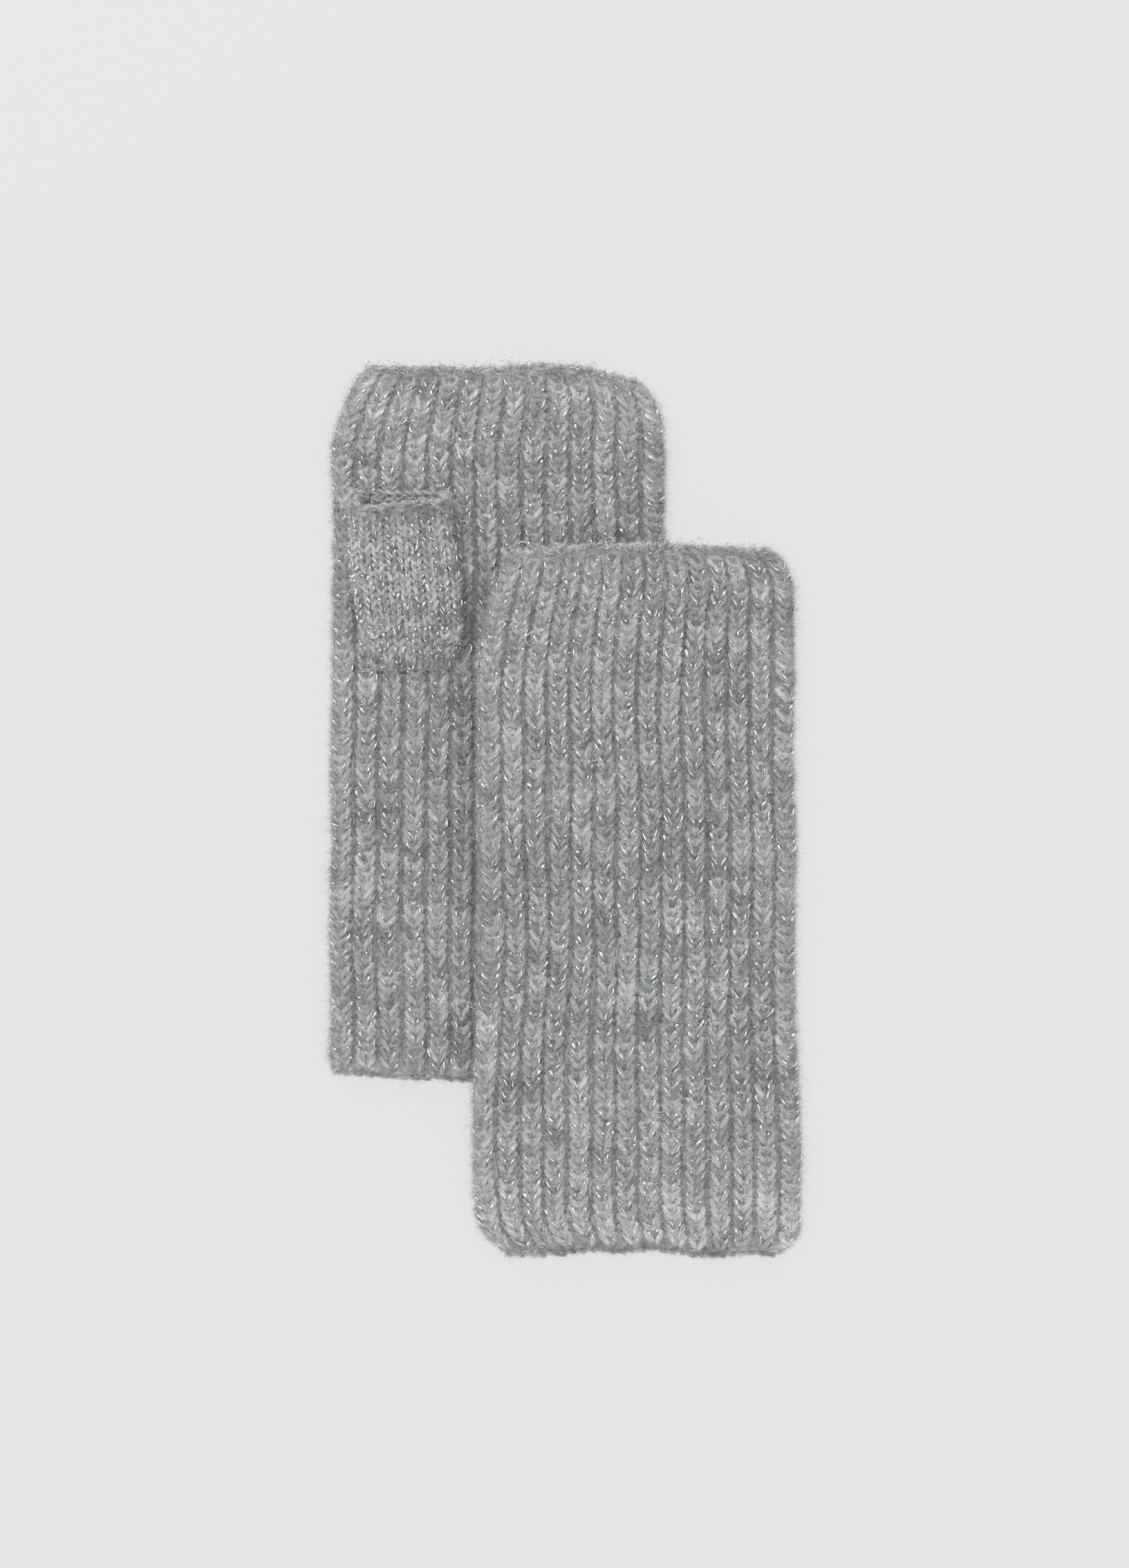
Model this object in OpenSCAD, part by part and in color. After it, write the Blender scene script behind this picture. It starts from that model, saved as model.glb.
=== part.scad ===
// A pair of fingerless rib-knit gloves, laid flat, the right one lying partly on the left one.
// The left glove lies palm up with its thumb tube folded onto the palm.
// The right glove lies palm down, so its thumb tube is pressed between it and the left glove.
// Each glove is a flattened hollow tube: +Y points to the finger edge, +Z is up.

/* [Gloves] */
// Length of each glove, from cast-on cuff to bound-off finger edge
glove_len = 207; // [180:1:230]
// Width of the left glove laid flat, at its widest
left_w = 98; // [92:1:106]
// Width of the right glove laid flat, at its widest
right_w = 95.8; // [90:0.1:100]
// Width of each glove at its finger edge
finger_w = 80; // [74:1:84]
// Length over which the left glove flares from the finger edge to its full width
left_flare = 36; // [20:1:45]
// Length over which the right glove flares from the finger edge to its full width
right_flare = 24; // [20:1:45]
// How much narrower each side is at the middle of the hand
waist = 1.4; // [0:0.1:3]
// Radius of the rounded corners at the cuff
cuff_corner = 5; // [2:0.5:8]

/* [Knit] */
// Thickness of the ribbed wall
wall = 2.6; // [1.8:0.1:3]
// Inner height of a glove laid flat, where the hand goes
hand_gap = 5; // [4.6:0.1:8]
// Height of the cast-on edge at the cuff
cuff_edge_h = 3; // [2:0.5:5]
// Height of the chained bind-off along the finger edge
finger_edge_h = 4; // [2:0.5:5]
// Radius of the seam yarn
seam_r = 0.9; // [0.6:0.1:1.2]

/* [Thumb] */
// Length of the thumb tube, from its fold line to its bound-off edge
thumb_len = 41; // [34:1:46]
// Width of the thumb tube at its base, laid flat
thumb_base_w = 31; // [26:1:33]
// Extra width halfway along the thumb tube
thumb_swell = 2.9; // [0:0.1:3]
// Width of the thumb tube at its open tip
thumb_tip_w = 29.5; // [24:0.5:31]
// Thickness of the plain-knit thumb wall
thumb_wall = 1.6; // [1.2:0.1:1.8]
// Inner height of the thumb tube laid flat
thumb_gap = 4.4; // [4.3:0.1:6]
// Height of the bound-off edge at the thumb's tip
thumb_edge_h = 3; // [2:0.5:4]
// Sideways drift of the thumb tube from its base to its tip
thumb_lean = -3.2; // [-4:0.1:0]

/* [Lay] */
// Distance from each glove's middle to the pair's middle, across
lay_x = 20.2; // [18:0.1:22]
// Distance from each glove's middle to the pair's middle, along
lay_y = 25.7; // [20:0.1:32]
// Clear height between pieces that only lie on each other
rest_gap = 0.4; // [0.3:0.1:1]
// Length over which the right glove drapes from the left glove to the floor
drape = 24; // [20:1:30]
// Height that the hidden thumb presses out of the right glove's inside
squeeze = 4.1; // [3:0.1:4.2]

/* [Hidden] */

knit_grey = [0.60, 0.61, 0.61];
edge_grey = [0.66, 0.67, 0.67];
seam_grey = [0.50, 0.51, 0.51];

hand_t = hand_gap + 2 * wall;
thumb_t = thumb_gap + 2 * thumb_wall;

// The pair's middle is the origin, so each glove's middle is moved by half the width difference.
x_shift = (left_w - right_w) / 4;
left_x = x_shift - lay_x;
right_x = x_shift + lay_x;
left_cuff_y = lay_y - glove_len / 2;
right_cuff_y = -lay_y - glove_len / 2;

// Thumb: its middle is off the glove's middle, and it folds about a line across the palm.
thumb_u = -24.6;
fold_v = 127;
left_fold_y = left_cuff_y + fold_v;
right_fold_y = right_cuff_y + fold_v;
left_thumb_z = hand_t + rest_gap;
right_thumb_z = hand_t + rest_gap;

// Thumb hole: it starts on the wrist side of the fold line and ends under the tube's base.
hole_reach = 6;
hole_low = fold_v - hole_reach;
hole_high = fold_v + 3;
hole_first_col = 1;
hole_cols = 5;

// The right glove's level part over its own thumb: margins past the thumb's sides and tip,
// and the lengths over which the glove rises onto it, across and along.
side_margin = 3.5;
tip_margin = 2;
thumb_ramp = 10;
thumb_ramp_y = 16;

// Mesh counts: columns across one flat wall, and steps round one side.
flat_cols = 16;
side_cols = 4;
thumb_flat_cols = 8;
thumb_side_cols = 4;
seam_sides = 6;

function clamp01(t) = min(1, max(0, t));
function ease(t) = let (c = clamp01(t)) c * c * (3 - 2 * c);
function mix(a, b, t) = a + (b - a) * t;
function spread(a, b, n) = [for (k = [0:n]) mix(a, b, k / n)];
function tail(list) = [for (k = [1:len(list) - 1]) list[k]];

// Half width of a glove at a distance v from its cuff.
function hand_half(w, flare, v) =
    let (
        to_tip = glove_len - v,
        flare_cut = to_tip < flare ? (w - finger_w) / 2 * pow(1 - to_tip / flare, 2) : 0,
        waist_cut = waist * pow(sin(180 * clamp01(v / glove_len)), 2),
        r = cuff_corner,
        corner_cut = v < r ? r - sqrt(r * r - pow(r - v, 2)) : 0
    )
    w / 2 - max(flare_cut, waist_cut) - corner_cut;

// Half width of a thumb tube at a distance s from its fold line.
function thumb_half(s) =
    let (t = s / thumb_len)
    mix(thumb_base_w, thumb_tip_w, t) / 2 + thumb_swell / 2 * sin(180 * t);

// A flattened ring, counted from the top wall's left end, clockwise seen from the cuff.
// half: half width, t: full thickness, r: side radius (less on the inner ring), n: flat columns, m: side steps.
function ring(half, t, r, n, m) =
    let (flat = half - t / 2)
    [for (i = [0:2 * (n + m) - 1])
        i <= n ? [mix(-flat, flat, i / n), t / 2 + r] :
        i <= n + m ? let (a = 90 - 180 * (i - n) / m) [flat + r * cos(a), t / 2 + r * sin(a)] :
        i <= 2 * n + m ? [mix(flat, -flat, (i - n - m) / n), t / 2 - r] :
        let (a = 270 - 180 * (i - 2 * n - m) / m) [-flat + r * cos(a), t / 2 + r * sin(a)]
    ];

// How much of the left glove (1) or the floor (0) is under the right glove at a place.
function over_left(x, y) =
    (1 - ease((x - left_x - left_w / 2) / drape)) * (1 - ease((left_cuff_y - y) / drape));

// How much of the right glove's own thumb is under it at a place.
function over_thumb(x, y) =
    let (
        side = abs(x - right_x - thumb_u) - thumb_base_w / 2 - side_margin,
        along = max(right_fold_y - hole_reach - y, y - right_fold_y - thumb_len - tip_margin)
    )
    (1 - ease(side / thumb_ramp)) * (1 - ease(along / thumb_ramp_y));

// Height of the right glove's underside.
function underside(x, y) =
    (hand_t + rest_gap) * over_left(x, y) + (thumb_t + rest_gap) * over_thumb(x, y);

// A point of a glove: u across, v from the cuff, w up from its underside.
function left_point(u, v, w) = [left_x + u, left_cuff_y + v, w];
function right_point(u, v, w) =
    let (
        x = right_x + u,
        y = right_cuff_y + v,
        pressed = squeeze * over_thumb(x, y) * clamp01((w - wall) / hand_gap)
    )
    [x, y, underside(x, y) + w - pressed];
function glove_point(right, u, v, w) = right ? right_point(u, v, w) : left_point(u, v, w);

// All rings of a glove wall at the distances in stations; inset is 0 outside and wall inside.
function hand_rings(right, stations, inset) =
    [for (v = stations)
        let (half = right ? hand_half(right_w, right_flare, v) : hand_half(left_w, left_flare, v))
        [for (p = ring(half, hand_t, hand_t / 2 - inset, flat_cols, side_cols))
            glove_point(right, p[0], v, p[1])]
    ];

function thumb_rings(right, stations, inset) =
    [for (s = stations)
        let (
            x = (right ? right_x : left_x) + thumb_u + thumb_lean * s / thumb_len,
            y = (right ? right_fold_y : left_fold_y) + s,
            z = right ? right_thumb_z : left_thumb_z
        )
        [for (p = ring(thumb_half(s), thumb_t, thumb_t / 2 - inset, thumb_flat_cols, thumb_side_cols))
            [x + p[0], y, z + p[1]]]
    ];

// A wall between an outer and an inner grid of rings, open at both ends.
// hole: [first row, row after the last, first column, column after the last] left out of the wall.
module wall_between(outer, inner, hole = [0, 0, 0, 0]) {
    rows = len(outer);
    cols = len(outer[0]);
    size = rows * cols;
    function at(side, j, i) = side * size + j * cols + i % cols;
    function is_open(j, i) = j >= hole[0] && j < hole[1] && i >= hole[2] && i < hole[3];
    function quad(a, b, c, d) = [[a, b, c], [a, c, d]];
    skins = [for (j = [0:rows - 2]) for (i = [0:cols - 1]) if (!is_open(j, i)) each concat(
        quad(at(0, j, i), at(0, j, i + 1), at(0, j + 1, i + 1), at(0, j + 1, i)),
        quad(at(1, j, i), at(1, j + 1, i), at(1, j + 1, i + 1), at(1, j, i + 1))
    )];
    last = rows - 1;
    ends = [for (i = [0:cols - 1]) each concat(
        quad(at(0, 0, i + 1), at(0, 0, i), at(1, 0, i), at(1, 0, i + 1)),
        quad(at(0, last, i), at(0, last, i + 1), at(1, last, i + 1), at(1, last, i))
    )];
    across = hole[1] > hole[0] ? [for (i = [hole[2]:hole[3] - 1]) each concat(
        quad(at(0, hole[0], i), at(0, hole[0], i + 1), at(1, hole[0], i + 1), at(1, hole[0], i)),
        quad(at(0, hole[1], i + 1), at(0, hole[1], i), at(1, hole[1], i), at(1, hole[1], i + 1))
    )] : [];
    along = hole[1] > hole[0] ? [for (j = [hole[0]:hole[1] - 1]) each concat(
        quad(at(0, j + 1, hole[2]), at(0, j, hole[2]), at(1, j, hole[2]), at(1, j + 1, hole[2])),
        quad(at(0, j, hole[3]), at(0, j + 1, hole[3]), at(1, j + 1, hole[3]), at(1, j, hole[3]))
    )] : [];
    points = [for (grid = [outer, inner]) for (row = grid) each row];
    polyhedron(points, concat(skins, ends, across, along), convexity = 6);
}

// A closed strand of yarn through the given centres; flat_axis is the axis its cross-section has none of.
module strand(centres, r, flat_axis) {
    n = seam_sides;
    last = len(centres) - 1;
    function around(k) = flat_axis == "y" ?
        [r * cos(360 * k / n), 0, r * sin(360 * k / n)] :
        [0, r * sin(360 * k / n), r * cos(360 * k / n)];
    points = [for (c = centres) for (k = [0:n - 1]) c + around(k)];
    sides = [for (j = [0:last - 1]) for (k = [0:n - 1]) let (k2 = (k + 1) % n) each [
        [j * n + k, (j + 1) * n + k, (j + 1) * n + k2],
        [j * n + k, (j + 1) * n + k2, j * n + k2]
    ]];
    caps = [[for (k = [0:n - 1]) k], [for (k = [n - 1:-1:0]) last * n + k]];
    polyhedron(points, concat(sides, caps), convexity = 4);
}

// The ribbed tube round the hand, between its two edges, with the thumb hole in its palm wall.
module hand_panel(right) {
    low = spread(cuff_edge_h, hole_low, 20);
    middle = tail(spread(hole_low, hole_high, 2));
    high = tail(spread(hole_high, glove_len - finger_edge_h, 13));
    stations = concat(low, middle, high);
    first_row = len(low) - 1;
    // The palm is the top wall of the left glove and the bottom wall, counted backwards, of the right one.
    first_col = right ? 2 * flat_cols + side_cols - hole_first_col - hole_cols : hole_first_col;
    hole = [first_row, first_row + len(middle), first_col, first_col + hole_cols];
    color(knit_grey) wall_between(
        hand_rings(right, stations, 0),
        hand_rings(right, stations, wall),
        hole
    );
}

// A plain band of the glove's wall from one distance to another: the cast-on or the bind-off.
module hand_band(right, from, to, steps) {
    stations = spread(from, to, steps);
    color(edge_grey) wall_between(hand_rings(right, stations, 0), hand_rings(right, stations, wall));
}

module cuff_edge(right) {
    hand_band(right, 0, cuff_edge_h, 4);
}

module finger_edge(right) {
    hand_band(right, glove_len - finger_edge_h, glove_len, 2);
}

// The linked seam inside the little-finger side, from edge to edge.
module side_seam(right) {
    w = right ? right_w : left_w;
    flare = right ? right_flare : left_flare;
    centres = [for (v = spread(cuff_edge_h + 1, glove_len - finger_edge_h - 1, 24))
        glove_point(right, hand_half(w, flare, v) - wall - seam_r / 2, v, hand_t / 2)];
    color(seam_grey) strand(centres, seam_r, "y");
}

// The plain-knit tube round the thumb, from its fold line to its bound-off edge.
module thumb_tube(right) {
    stations = spread(0, thumb_len - thumb_edge_h, 9);
    color(knit_grey) wall_between(
        thumb_rings(right, stations, 0),
        thumb_rings(right, stations, thumb_wall)
    );
}

module thumb_edge(right) {
    stations = spread(thumb_len - thumb_edge_h, thumb_len, 1);
    color(edge_grey) wall_between(
        thumb_rings(right, stations, 0),
        thumb_rings(right, stations, thumb_wall)
    );
}

// The linked seam inside the thumb tube, on the side towards the middle of the hand.
module thumb_seam(right) {
    x = (right ? right_x : left_x) + thumb_u;
    y = right ? right_fold_y : left_fold_y;
    z = (right ? right_thumb_z : left_thumb_z) + thumb_t / 2;
    centres = [for (s = spread(1, thumb_len - thumb_edge_h - 1, 6))
        [x + thumb_lean * s / thumb_len + thumb_half(s) - thumb_wall - seam_r / 2, y + s, z]];
    color(seam_grey) strand(centres, seam_r, "y");
}

// The row of picked-up stitches that joins the thumb to the palm, along the hole's wrist side.
module thumb_base_seam(right) {
    sink = 0.3;
    sag = 1.2;
    reach = thumb_base_w / 2;
    centres = [for (t = spread(-1, 1, 10))
        let (
            v = hole_low - seam_r - 0.5 - sag * (1 - t * t),
            w = right ? sink - seam_r : hand_t - sink + seam_r
        )
        glove_point(right, thumb_u + reach * t, v, w)];
    color(seam_grey) strand(centres, seam_r, "x");
}

hand_panel(false);  // left_hand_panel
finger_edge(false);  // left_finger_edge
cuff_edge(false);  // left_cuff_edge
side_seam(false);  // left_side_seam
thumb_tube(false);  // left_thumb_tube
thumb_edge(false);  // left_thumb_edge
thumb_seam(false);  // left_thumb_seam
thumb_base_seam(false);  // left_thumb_base_seam
hand_panel(true);  // right_hand_panel
finger_edge(true);  // right_finger_edge
cuff_edge(true);  // right_cuff_edge
side_seam(true);  // right_side_seam
thumb_tube(true);  // right_thumb_tube
thumb_edge(true);  // right_thumb_edge
thumb_seam(true);  // right_thumb_seam
thumb_base_seam(true);  // right_thumb_base_seam
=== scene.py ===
"""A pair of brushed rib-knit fingerless gloves lying flat.

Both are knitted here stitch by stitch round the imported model, then covered with wool fuzz and silver filament.
"""
import math

import bpy
import numpy as np
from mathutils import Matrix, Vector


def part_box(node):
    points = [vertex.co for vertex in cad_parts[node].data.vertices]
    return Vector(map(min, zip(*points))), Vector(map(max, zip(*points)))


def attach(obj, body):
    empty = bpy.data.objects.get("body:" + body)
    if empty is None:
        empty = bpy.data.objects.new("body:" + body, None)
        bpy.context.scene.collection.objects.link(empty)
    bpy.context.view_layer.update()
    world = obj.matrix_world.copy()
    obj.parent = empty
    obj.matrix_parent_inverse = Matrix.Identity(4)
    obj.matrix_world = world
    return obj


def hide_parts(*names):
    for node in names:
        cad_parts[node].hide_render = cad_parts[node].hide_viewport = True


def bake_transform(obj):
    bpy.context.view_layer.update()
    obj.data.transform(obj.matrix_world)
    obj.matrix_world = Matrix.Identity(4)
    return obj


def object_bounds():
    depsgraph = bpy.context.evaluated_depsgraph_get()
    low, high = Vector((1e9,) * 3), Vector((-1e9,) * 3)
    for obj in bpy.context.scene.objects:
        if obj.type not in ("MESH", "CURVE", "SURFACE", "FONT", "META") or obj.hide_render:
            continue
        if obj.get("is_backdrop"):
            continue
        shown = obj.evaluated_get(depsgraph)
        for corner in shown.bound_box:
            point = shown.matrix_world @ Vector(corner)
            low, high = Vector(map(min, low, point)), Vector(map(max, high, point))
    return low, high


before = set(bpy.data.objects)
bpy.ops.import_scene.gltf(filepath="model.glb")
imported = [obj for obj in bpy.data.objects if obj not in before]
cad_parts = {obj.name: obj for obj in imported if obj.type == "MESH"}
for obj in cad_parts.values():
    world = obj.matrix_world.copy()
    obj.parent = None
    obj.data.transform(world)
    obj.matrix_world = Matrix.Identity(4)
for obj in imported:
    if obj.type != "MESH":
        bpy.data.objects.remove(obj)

CAD_BOX = [list(corner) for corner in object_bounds()]

# All shapes below are worked out in millimetres and scaled once, when a mesh is made.
MM = 0.001

# Camera: straight above the pair, a long lens, the field that the object needs round it.
VIEW_CENTRE = (-0.2, 7.7)
VIEW_HEIGHT = 453.6
CAMERA_HEIGHT = 1500.0
SENSOR = 36.0
SIGHT = 50.0        # how far the camera sees, m
FLOOR_REACH = 20.0  # how far the floor runs on each side, m
LIGHT_SIZE = 0.4    # across each round light, m
WARM = (1.0, 0.975, 0.945)

# The glove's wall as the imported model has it.
WALL = 2.6          # thickness of one layer
HAND_GAP = 5.0      # hollow between the two layers
HAND_T = HAND_GAP + 2 * WALL
MID_R = 3.2         # from the middle of the hollow to the middle of a layer's yarn
DRAPE = 24.0        # length over which the right glove steps down off the left one
SQUEEZE = 4.1       # how far the right glove's hollow shuts over its own thumb
REST_GAP = 0.4      # air under the right glove where it lies on the left one or on its thumb

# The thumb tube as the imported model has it.
THUMB_WALL = 1.6
THUMB_LEN = 41.0
THUMB_BASE_W = 31.0
THUMB_SWELL = 2.9   # how much wider it is half way along
THUMB_TIP_W = 29.5
THUMB_LEAN = -3.2   # how far its tip leans to one side
HOLE_REACH = 6.0    # how far the thumb hole runs back from the fold line
SIDE_MARGIN = 3.5   # how far the bulge over the right thumb stays high past its sides
TIP_MARGIN = 2.0    # and past its tip
THUMB_RAMP = (10.0, 16.0)   # length of the slopes beyond, across and along
YARN_BULK = 1.4     # how far a thumb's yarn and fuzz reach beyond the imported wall, taken off each side
BASE_LEN = 8.8      # length of knit between the fold line and the thumb hole's rim
BASE_SLOPE = (3.4, 11.0)    # how far the outer layer comes down at the fold line, and over what length
HOLE_HALF = (15.0, 3.4)     # half the thumb hole, across and along
RIM_REACH = 2.6     # how far the rim runs on over the palm, below the hole
MOUTH_SLANT = 2.2   # how much longer the layer on the palm is than the layer away from it, half of it
MOUTH_TILT = 1.8    # how far the mouth's outer lip rises to one side and drops to the other

# Each glove's outline. In pairs, for its left and right side: how far the side draws in at the finger edge and
# over what length, how far it draws in above the cuff, the radius of the cuff's corner, and how far the finger
# edge droops. Then how far the cuff and the finger edge are drawn in along the glove, and its waves' phase.
OUTLINE = {
    "left": {
        "draw": ((10.0, 30.0), (6.0, 14.0)), "waist": (0.8, 0.2), "corner": (5.0, 5.0), "droop": (0.0, 4.6),
        "ends": (0.8, 1.1), "phase": 0.0,
    },
    "right": {
        "draw": ((8.5, 40.0), (7.5, 14.0)), "waist": (2.0, 1.9), "corner": (14.0, 9.0), "droop": (1.2, 0.0),
        "ends": (1.6, 1.6), "phase": 2.1,
    },
}
SIDE_TRIM = 0.6     # taken off each side of a glove, for its yarn and fuzz

# Gauge: ribs round a glove, rows along it, and the same for the plain-knit thumb.
RIBS = 28
ROWS = 72
THUMB_WALES = 18
THUMB_ROW = 2.2
YARN_R = 0.86
THUMB_YARN_R = 0.66

# Half a rib, from the middle of an outer loop's head to the middle of an inner loop's head:
# (across, of a rib's width; along, of a row; out from the middle of the wall, mm).
RIB_LOOP = [
    (0.00, 0.92, 0.45), (0.19, 0.90, 0.60), (0.345, 0.58, 0.85), (0.245, 0.06, 1.10),
    (0.105, -0.42, 0.90), (0.07, -0.74, 0.15), (0.25, -0.85, -0.60), (0.43, -0.74, -0.75),
    (0.395, -0.42, -0.95), (0.275, 0.06, -1.10), (0.215, 0.56, -0.90), (0.33, 0.86, -0.80),
    (0.50, 0.92, -0.80),
]
# Half a plain-knit stitch, from the middle of its head to the middle of the strand to its neighbour.
PLAIN_LOOP = [
    (0.00, 0.95, -0.45), (0.22, 0.92, -0.30), (0.41, 0.64, 0.15), (0.26, 0.14, 0.45),
    (0.09, -0.36, 0.25), (0.20, -0.68, -0.25), (0.36, -0.78, -0.45), (0.50, -0.80, -0.50),
]
# One link of a chained edge: (along the edge, of a link; up from its middle, mm; out, mm).
CHAIN_LINK = [
    (0.00, 0.10, 0.10), (0.30, 0.40, 0.55), (0.65, 0.80, 0.60), (0.95, 1.00, 0.15),
    (1.05, 0.65, -0.35), (1.00, 0.20, -0.35),
]
# How far a loop strays: of a stitch's width across, of a row along, and mm out.
RIB_STRAY = (0.034, 0.12, 0.10)
PLAIN_STRAY = (0.03, 0.10, 0.08)
YARN_SIDES = 6
FILAMENT_SIDES = 3

# Hairs: how many, their length and width in mm, and how steeply they rise (0 along the yarn, 1 upright).
LOOP_HAIRS = (58000, 2.0, 0.06, 0.2)
FURROW_HAIRS = (62000, 1.8, 0.075, 0.4)
HALO_HAIRS = (22000, 2.2, 0.038, 0.9)
LONG_HAIRS = (8000, 4.4, 0.028, 0.7)
INNER_HAIRS = (12000, 1.6, 0.06, 0.3)
THUMB_HAIRS = (24000, 1.6, 0.06, 0.25)
THUMB_TIP_HAIRS = (4000, 2.0, 0.05, 0.9)
THUMB_BASE_HAIRS = (3500, 2.0, 0.06, 0.3)
NAP_SIZE = (1.9, 0.055)     # length and width of the hairs on a chained edge
FINGER_PAINTED_LIGHT = 0.14          # how much lighter the hairs at the finger edge are painted: painted light against the shade on that edge

# Where the filament surfaces on a stitch: the first and last point of a leg, and how it winds round that leg.
RIB_LEGS = [(2, 4, 0.5), (20, 22, -0.1)]
PLAIN_LEGS = [(2, 4, 0.5), (10, 12, -0.5)]
# Filament strands: the share of the legs that show one, and its radius.
HAND_SILVER = (0.62, 0.61)
THIN_SILVER = (0.50, 0.21)
THUMB_SILVER = (0.70, 0.56)
# Loose curls of filament: the strand's radius and the curl's, and how many lie on each part.
HAND_CURL = (0.115, 1.25)
THUMB_CURL = (0.11, 1.35)
EDGE_CURLS, BODY_CURLS, THUMB_CURLS = 170, 420, 40


def ease(t):
    c = np.clip(t, 0, 1)
    return c * c * (3 - 2 * c)


def mix(a, b, t):
    return a + (b - a) * t


def unit(v):
    return v / np.maximum(np.linalg.norm(v, axis=-1, keepdims=True), 1e-9)


def node_box(name):
    """A node's lowest and highest corner, in millimetres."""
    return [np.array(corner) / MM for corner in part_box(name)]


class Glove:
    """The sizes of one glove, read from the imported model."""

    def __init__(self, side):
        self.side = side
        self.right = side == "right"
        low, high = node_box(f"{side}_hand_panel")
        self.width = high[0] - low[0]
        self.x = (low[0] + high[0]) / 2
        self.cuff_y = node_box(f"{side}_cuff_edge")[0][1]
        self.length = node_box(f"{side}_finger_edge")[1][1] - self.cuff_y
        self.panel = (low[1] - self.cuff_y, high[1] - self.cuff_y)
        thumb_low, thumb_high = node_box(f"{side}_thumb_tube")
        self.fold_y = thumb_low[1]
        self.thumb_z = (thumb_low[2] + thumb_high[2]) / 2
        self.thumb_t = thumb_high[2] - thumb_low[2]
        seam_low, seam_high = node_box(f"{side}_thumb_base_seam")
        self.thumb_x = (seam_low[0] + seam_high[0]) / 2
        self.up = -1 if self.right else 1     # from the palm to the thumb lying on it

    def hand(self, a, v, n):
        return hand_point(self, a, v, n)

    def thumb(self, a, s, n):
        return thumb_point(self, a, s, n)


left, right = Glove("left"), Glove("right")


def outline(g, v):
    """The middle and half of a glove's width, v mm from its cuff."""
    shape = OUTLINE[g.side]
    cuts = []
    for side in (0, 1):
        draw, over = shape["draw"][side]
        radius = shape["corner"][side]
        drawn = draw * np.clip(1 - (g.length - v) / over, 0, 1) ** 2
        waist = shape["waist"][side] * ease((v - 40) / 45)
        corner = radius - np.sqrt(radius**2 - np.clip(radius - v, 0, radius) ** 2)
        cuts.append(SIDE_TRIM + drawn + waist + np.minimum(corner, 0.6 * radius))
    return (cuts[0] - cuts[1]) / 2, g.width / 2 - (cuts[0] + cuts[1]) / 2


def over_left(x, y):
    """How far the right glove lies on the left one (1) or on the floor (0)."""
    across = (x - left.x - left.width / 2) / DRAPE
    along = (left.cuff_y - y) / DRAPE
    return (1 - ease(across)) * (1 - ease(along))


def over_thumb(x, y):
    """How far the right glove lies on its own thumb."""
    side = np.abs(x - right.thumb_x) - THUMB_BASE_W / 2 - SIDE_MARGIN
    along = np.maximum(right.fold_y - HOLE_REACH - y, y - right.fold_y - THUMB_LEN - TIP_MARGIN)
    return (1 - ease(side / THUMB_RAMP[0])) * (1 - ease(along / THUMB_RAMP[1]))


def underside(x, y):
    lift = (HAND_T + REST_GAP) * over_left(x, y)
    return lift + (right.thumb_t + REST_GAP) * over_thumb(x, y)


def flattened(a, flat, mid_r, n):
    """Across and up from a flattened tube's middle: a of the way round it, n mm out from its wall's middle.

    a is 0 at the middle of the tube's left side and runs over its top.
    """
    r = mid_r + n
    quarter = np.pi * mid_r / 2
    girth = 4 * flat + 4 * quarter
    s = np.mod(a, 1) * girth
    top, bottom = quarter + 2 * flat, 3 * quarter + 2 * flat
    last = bottom + 2 * flat
    turn = np.select(
        [s < quarter, s < top, s < bottom, s < last],
        [np.pi - s / mid_r, np.pi / 2, np.pi / 2 - (s - top) / mid_r, -np.pi / 2],
        -np.pi / 2 - (s - last) / mid_r,
    )
    middle = np.select(
        [s < quarter, s < top, s < bottom, s < last],
        [-flat, s - quarter - flat, flat, flat - (s - bottom)],
        -flat,
    )
    return middle + r * np.cos(turn), r * np.sin(turn)


def hand_point(g, a, v, n):
    """A point of a glove's wall: a of the way round, v mm from its cuff, n mm out from the wall's middle."""
    a, v, n = np.broadcast_arrays(np.asarray(a, float), np.asarray(v, float), np.asarray(n, float))
    shape = OUTLINE[g.side]
    phase = shape["phase"]
    middle, half = outline(g, v)
    u, h = flattened(a, half - HAND_T / 2, MID_R, n)
    u = u + middle
    # The sides wander slowly, and the two open edges wave.
    x = g.x + u + 0.35 * np.sin(v / 19 + phase) + 0.2 * np.sin(v / 7.3 + u / 30 + phase)
    y = g.cuff_y + v + 0.3 * np.sin(u / 13 + phase) + 0.15 * np.sin(u / 5.1 + v / 40)
    low, high = shape["droop"]
    droop = low * ease(-u / 30) + high * np.clip((u - 15) / 28, 0, 1.2) ** 2
    cuff_in, finger_in = shape["ends"]
    waves = 0.55 * np.sin(u / 8.3 + phase) + 0.35 * np.sin(u / 3.7)
    y = y + (cuff_in + waves) * np.clip(1 - v / 30, 0, 1)
    y = y - (finger_in + droop - 0.3 * waves) * ease((v - 165) / 42)
    z = HAND_T / 2 + h
    if g.right:
        pressed = SQUEEZE * over_thumb(x, y) * np.clip((z - WALL) / HAND_GAP, 0, 1)
        z = z + underside(x, y) - pressed
    return np.stack([x, y, z], -1)


def thumb_half(s):
    t = np.clip(s / THUMB_LEN, 0, 1)
    return mix(THUMB_BASE_W, THUMB_TIP_W, t) / 2 + THUMB_SWELL / 2 * np.sin(np.pi * t)


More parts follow.
